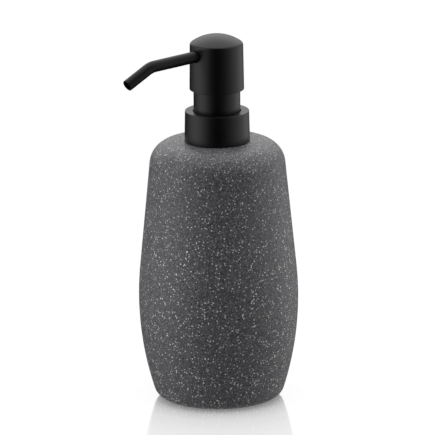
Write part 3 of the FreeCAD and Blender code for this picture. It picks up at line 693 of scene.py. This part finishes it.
def makeBottle():
    low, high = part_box("bottle")
    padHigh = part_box("base_pad")[1]
    wall = bottleSizes["wall"]
    mouth = bottleSizes["mouthRadius"]
    recess = padHigh.x + bottleSizes["padGap"]
    side = bottleSizes["sideRadius"]
    shoulder = bottleSizes["shoulderRadius"]
    innerFloor = low.z + bottleSizes["floorThickness"]
    innerCorner = bottleSizes["innerFootRadius"]
    outside = vesselCorners(low.z, high.z, high.x, side, shoulder, bottleSizes["footRadius"])
    inside = vesselCorners(
        innerFloor, high.z - wall, high.x - wall, side - wall, shoulder - wall, innerCorner
    )
    corners = [
        (0, padHigh.z),
        (recess, padHigh.z),
        (recess, low.z, bottleSizes["recessEdge"], bottleSizes["recessSteps"]),
        *outside,
        (mouth, high.z),
        (mouth, high.z - wall, bottleSizes["mouthEdge"], bottleSizes["mouthSteps"]),
        *reversed(inside),
        (0, innerFloor),
    ]
    bottle = turnPiece("bottleBody", corners, "speckled_stone", bottleSizes["segments"])
    closeShape(bottle)
    settle(bottle, "bottle", ["bottle"])


padSizes = {"edge": 0.3 * mm, "edgeSteps": 4, "segments": 96}


def makePad():
    low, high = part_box("base_pad")
    rim = (high.x, low.z, padSizes["edge"], padSizes["edgeSteps"])
    corners = [(0, low.z), rim, (high.x, high.z), (0, high.z)]
    pad = turnPiece("basePad", corners, "rubber_pad", padSizes["segments"])
    closeShape(pad)
    settle(pad, "bottle", ["base_pad"])


makeBottle()
makePad()
print("bottle: body and pad")


# Collar and sleeve

collarSizes = {
    "wall": 0.6 * mm,
    "footGrowth": 0.35 * mm,
    "topEdge": 0.25 * mm,
    "holeEdge": 0.12 * mm,
    "footEdge": 0.12 * mm,
    "holeGap": 0.4 * mm,
    "topSteps": 6,
    "edgeSteps": 3,
    "segments": 160,
}
sleeveSizes = {
    "wall": 0.5 * mm,
    "lip": 1.7 * mm,
    "topEdge": 0.3 * mm,
    "footEdge": 0.1 * mm,
    "topSteps": 5,
    "edgeSteps": 3,
    "segments": 128,
}


def makeCollar():
    low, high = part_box("collar_shell")
    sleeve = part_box("chaplet_sleeve")[1].x
    wall = collarSizes["wall"]
    foot = high.x
    top = foot - collarSizes["footGrowth"]
    hole = sleeve + collarSizes["holeGap"]
    steps = collarSizes["edgeSteps"]
    corners = [
        (foot - wall, low.z, collarSizes["footEdge"], steps),
        (foot, low.z, collarSizes["footEdge"], steps),
        (top, high.z, collarSizes["topEdge"], collarSizes["topSteps"]),
        (hole, high.z, collarSizes["holeEdge"], steps),
        (hole, high.z - wall, collarSizes["holeEdge"], steps),
        (top - wall, high.z - wall),
    ]
    collar = turnPiece("collarShell", corners, "black_shell", collarSizes["segments"], closed=True)
    closeShape(collar)
    settle(collar, "collar", ["collar_shell"])


def makeSleeve():
    low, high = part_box("chaplet_sleeve")
    wall = sleeveSizes["wall"]
    lip = sleeveSizes["lip"]
    outer = high.x
    steps = sleeveSizes["edgeSteps"]
    corners = [
        (outer - wall, low.z),
        (outer, low.z, sleeveSizes["footEdge"], steps),
        (outer, high.z, sleeveSizes["topEdge"], sleeveSizes["topSteps"]),
        (outer - wall - lip, high.z, sleeveSizes["footEdge"], steps),
        (outer - wall - lip, high.z - wall),
        (outer - wall, high.z - wall),
    ]
    sleeve = turnPiece("pumpSleeve", corners, "black_shell", sleeveSizes["segments"], closed=True)
    closeShape(sleeve)
    settle(sleeve, "pump", ["chaplet_sleeve"])


makeCollar()
makeSleeve()
print("collar: shell and sleeve")


# Press head and spout

headSizes = {
    "wall": 1 * mm,
    "footGrowth": 0.3 * mm,
    "domeRadius": 21.8 * mm,
    "domeSteps": 16,
    "domeEdge": 1.9 * mm,
    "skirtEdge": 0.3 * mm,
    "spoutGap": 0.3 * mm,
    "drillDepth": 16 * mm,
    "drillSides": 64,
    "skirtSteps": 4,
    "edgeSteps": 8,
    "segments": 160,
}
spoutSizes = {
    "wall": 0.6 * mm,
    "droop": 2.0,
    "slope": 26.0,
    "bendReach": 41.3 * mm,
    "bendRadius": 11 * mm,
    "tipReach": 56 * mm,
    "seat": 4.5 * mm,
    "rimEdge": 0.15 * mm,
    "rimSteps": 4,
    "spans": 60,
    "bendSteps": 16,
    "segments": 64,
}


def domeArc(centre, radius, reach):
    turn = math.asin(reach / radius)
    shares = [number / headSizes["domeSteps"] for number in range(headSizes["domeSteps"] + 1)]
    return [(radius * math.sin(turn * share), centre + radius * math.cos(turn * share)) for share in shares]


def makeHead():
    low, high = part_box("head_shell")
    wall = headSizes["wall"]
    foot = high.x
    top = foot - headSizes["footGrowth"]
    centre = high.z - headSizes["domeRadius"]
    inner = domeArc(centre, headSizes["domeRadius"] - wall, top - wall)
    outer = domeArc(centre, headSizes["domeRadius"], top)
    skirt = (headSizes["skirtEdge"], headSizes["skirtSteps"])
    corners = [
        *inner,
        (top - wall, low.z, *skirt),
        (foot, low.z, *skirt),
        (*outer[-1], headSizes["domeEdge"], headSizes["edgeSteps"]),
        *reversed(outer[:-1]),
    ]
    return turnPiece("headShell", corners, "black_shell", headSizes["segments"])


def spoutRoute():
    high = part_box("spout_tube")[1]
    droop = math.radians(spoutSizes["droop"])
    slope = math.radians(spoutSizes["slope"])
    axisLevel = high.z - high.x * math.cos(droop) + spoutSizes["seat"] * math.tan(droop)
    bendReach = spoutSizes["bendReach"]
    tipReach = spoutSizes["tipReach"]
    root = Vector((0, -spoutSizes["seat"], axisLevel - spoutSizes["seat"] * math.tan(droop)))
    bend = Vector((0, -bendReach, axisLevel - bendReach * math.tan(droop)))
    tip = Vector((0, -tipReach, bend.z - (tipReach - bendReach) * math.tan(slope)))
    return root, bend, tip


def cutSpoutHole(head):
    root, bend, tip = spoutRoute()
    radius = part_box("spout_tube")[1].x + headSizes["spoutGap"]
    depth = headSizes["drillDepth"]
    sides = headSizes["drillSides"]
    run = (bend - root).normalized()
    drill = bmesh.new()
    bmesh.ops.create_cone(drill, cap_ends=True, segments=sides, radius1=radius, radius2=radius, depth=depth)
    start = root + run * depth / 2
    drill.transform(run.to_track_quat("Z", "Y").to_matrix().to_4x4())
    bmesh.ops.translate(drill, verts=drill.verts, vec=start)
    mesh = bpy.data.meshes.new("spoutDrill")
    drill.to_mesh(mesh)
    drill.free()
    cutter = bpy.data.objects.new("spoutDrill", mesh)
    scene.collection.objects.link(cutter)
    hole = head.modifiers.new("spoutHole", "BOOLEAN")
    hole.operation = "DIFFERENCE"
    hole.solver = "EXACT"
    hole.object = cutter
    applyModifiers(head)
    bpy.data.objects.remove(cutter)


def makeBendingTree():
    tree, given = newTree(
        "bending",
        [
            ("Root", "Vector"),
            ("Bend", "Vector"),
            ("Tip", "Vector"),
            ("Bend Radius", "Float"),
            ("Bend Steps", "Int"),
            ("Finish", "Material"),
        ],
    )
    line = addNode(tree, "GeometryNodeCurvePrimitiveLine", {"Start": given["Root"], "End": given["Tip"]})
    halved = addNode(tree, "GeometryNodeSubdivideCurve", {"Curve": line.outputs[0], "Cuts": 1})
    index = addNode(tree, "GeometryNodeInputIndex")
    middle = addNode(
        tree, "FunctionNodeCompare", {2: index.outputs[0], 3: 1}, data_type="INT", operation="EQUAL"
    )
    kinked = addNode(
        tree,
        "GeometryNodeSetPosition",
        {"Geometry": halved.outputs[0], "Selection": middle.outputs[0], "Position": given["Bend"]},
    )
    route = addNode(
        tree,
        "GeometryNodeFilletCurve",
        {"Curve": kinked.outputs[0], "Radius": given["Bend Radius"], "Count": given["Bend Steps"]},
        mode="POLY",
    )
    place = addNode(tree, "GeometryNodeInputPosition")
    across, level, along = addNode(tree, "ShaderNodeSeparateXYZ", {0: place.outputs[0]}).outputs
    sample = addNode(
        tree,
        "GeometryNodeSampleCurve",
        {"Curves": route.outputs[0], "Length": along},
        mode="LENGTH",
        use_all_curves=True,
    )
    side = addNode(
        tree,
        "ShaderNodeVectorMath",
        {0: sample.outputs["Tangent"], 1: sample.outputs["Normal"]},
        operation="CROSS_PRODUCT",
    )
    first = addNode(
        tree, "ShaderNodeVectorMath", {0: sample.outputs["Normal"], "Scale": across}, operation="SCALE"
    )
    second = addNode(tree, "ShaderNodeVectorMath", {0: side.outputs[0], "Scale": level}, operation="SCALE")
    offset = addNode(tree, "ShaderNodeVectorMath", {0: first.outputs[0], 1: second.outputs[0]})
    where = addNode(tree, "ShaderNodeVectorMath", {0: sample.outputs["Position"], 1: offset.outputs[0]})
    bent = addNode(
        tree, "GeometryNodeSetPosition", {"Geometry": given["Geometry"], "Position": where.outputs[0]}
    )
    return endTree(tree, bent.outputs[0], given["Finish"])


def makeSpout():
    # A straight tube is turned first and then bent along its route.
    root, bend, tip = spoutRoute()
    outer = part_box("spout_tube")[1].x
    inner = outer - spoutSizes["wall"]
    turn = (bend - root).angle(tip - bend)
    radius = spoutSizes["bendRadius"]
    length = (bend - root).length + (tip - bend).length - 2 * radius * math.tan(turn / 2) + radius * turn
    spans = spoutSizes["spans"]
    levels = [length * number / spans for number in range(spans + 1)]
    rim = (length, spoutSizes["rimEdge"], spoutSizes["rimSteps"])
    corners = [(outer, level) for level in levels[:-1]]
    corners += [(outer, *rim), (inner, *rim)]
    corners += [(inner, level) for level in reversed(levels[:-1])]
    spout = turnPiece("spoutTube", corners, "black_tube", spoutSizes["segments"], closed=True)
    runTree(
        spout,
        makeBendingTree(),
        {
            "Root": root,
            "Bend": bend,
            "Tip": tip,
            "Bend Radius": radius,
            "Bend Steps": spoutSizes["bendSteps"],
            "Finish": finishes["black_tube"],
        },
    )
    applyModifiers(spout)
    closeShape(spout)
    settle(spout, "head", ["spout_tube"])


head = makeHead()
cutSpoutHole(head)
closeShape(head)
settle(head, "head", ["head_shell"])
makeSpout()
print("head: shell and spout")


# Return spring, with closed and ground ends

springSizes = {
    "wireRadius": 0.45 * mm,
    "turns": 7.5,
    "pointsPerTurn": 40,
    "wireSides": 12,
    "endTurn": 0.9,
    "grind": 0.35,
    "creaseAngle": 50,
    "stroke": 10.5 * mm,
}


def makeSpringTree():
    tree, given = newTree(
        "coiling",
        [
            ("Wire Radius", "Float"),
            ("Mean Radius", "Float"),
            ("Turns", "Float"),
            ("End Share", "Float"),
            ("Foot", "Float"),
            ("Rise", "Float"),
            ("Grind", "Float"),
            ("Finish", "Material"),
        ],
    )
    spiral = addNode(
        tree,
        "GeometryNodeCurveSpiral",
        {
            "Resolution": springSizes["pointsPerTurn"],
            "Rotations": given["Turns"],
            "Start Radius": given["Mean Radius"],
            "End Radius": given["Mean Radius"],
            "Height": 0.0,
        },
    )
    share = addNode(tree, "GeometryNodeSplineParameter").outputs["Factor"]
    wire = combine(tree, "MULTIPLY", given["Wire Radius"], 2.0)
    fromEnd = combine(tree, "MINIMUM", share, combine(tree, "SUBTRACT", 1.0, share))
    closed = combine(tree, "MINIMUM", combine(tree, "DIVIDE", fromEnd, given["End Share"]), 1.0)
    ends = combine(tree, "MULTIPLY", wire, closed)
    span = combine(tree, "SUBTRACT", 1.0, combine(tree, "MULTIPLY", given["End Share"], 2.0))
    inner = combine(tree, "DIVIDE", combine(tree, "SUBTRACT", share, given["End Share"]), span)
    inner = combine(tree, "MINIMUM", combine(tree, "MAXIMUM", inner, 0.0), 1.0)
    openRise = combine(tree, "SUBTRACT", given["Rise"], combine(tree, "MULTIPLY", wire, 2.0))
    late = addNode(tree, "FunctionNodeCompare", {0: share, 1: 0.5}, operation="GREATER_THAN").outputs[0]
    lateEnds = combine(tree, "SUBTRACT", combine(tree, "MULTIPLY", wire, 2.0), ends)
    endRise = addNode(tree, "GeometryNodeSwitch", {0: late, 1: ends, 2: lateEnds}, input_type="FLOAT")
    rise = combine(tree, "ADD", endRise.outputs[0], combine(tree, "MULTIPLY", openRise, inner))
    offset = addNode(tree, "ShaderNodeCombineXYZ", {2: combine(tree, "ADD", rise, given["Foot"])})
    lifted = addNode(
        tree, "GeometryNodeSetPosition", {"Geometry": spiral.outputs[0], "Offset": offset.outputs[0]}
    )
    section = addNode(
        tree,
        "GeometryNodeCurvePrimitiveCircle",
        {"Resolution": springSizes["wireSides"], "Radius": given["Wire Radius"]},
        mode="RADIUS",
    )
    coil = addNode(
        tree,
        "GeometryNodeCurveToMesh",
        {"Curve": lifted.outputs[0], "Profile Curve": section.outputs[0], "Fill Caps": True},
    )
    place = addNode(tree, "GeometryNodeInputPosition").outputs[0]
    x, y, z = addNode(tree, "ShaderNodeSeparateXYZ", {0: place}).outputs
    least = combine(tree, "SUBTRACT", given["Foot"], given["Grind"])
    most = combine(tree, "ADD", combine(tree, "ADD", given["Foot"], given["Rise"]), given["Grind"])
    ground = combine(tree, "MINIMUM", combine(tree, "MAXIMUM", z, least), most)
    flat = addNode(tree, "ShaderNodeCombineXYZ", {0: x, 1: y, 2: ground})
    shaped = addNode(
        tree, "GeometryNodeSetPosition", {"Geometry": coil.outputs[0], "Position": flat.outputs[0]}
    )
    return endTree(tree, shaped.outputs[0], given["Finish"])


def makeSpring():
    low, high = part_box("return_spring")
    wire = springSizes["wireRadius"]
    grind = wire * springSizes["grind"]
    spring = newObject("returnSpring", [(0, 0, 0)], [])
    runTree(
        spring,
        makeSpringTree(),
        {
            "Wire Radius": wire,
            "Mean Radius": high.x - wire,
            "Turns": springSizes["turns"],
            "End Share": springSizes["endTurn"] / springSizes["turns"],
            "Foot": low.z + grind,
            "Rise": high.z - low.z - 2 * grind,
            "Grind": grind,
            "Finish": finishes["spring_steel"],
        },
    )
    applyModifiers(spring)
    closeShape(spring, springSizes["creaseAngle"])
    settle(spring, "spring", ["return_spring"])
    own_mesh(spring)


makeSpring()
print("spring: done")


# What stays as it comes from the frame takes its own finish

keptNodes = {row["node"]: row["material_slot"] for row in frame["record"]["subparts"]}
for name, node in nodes.items():
    node.data.materials.clear()
    node.data.materials.append(finishes[keptNodes[name]])
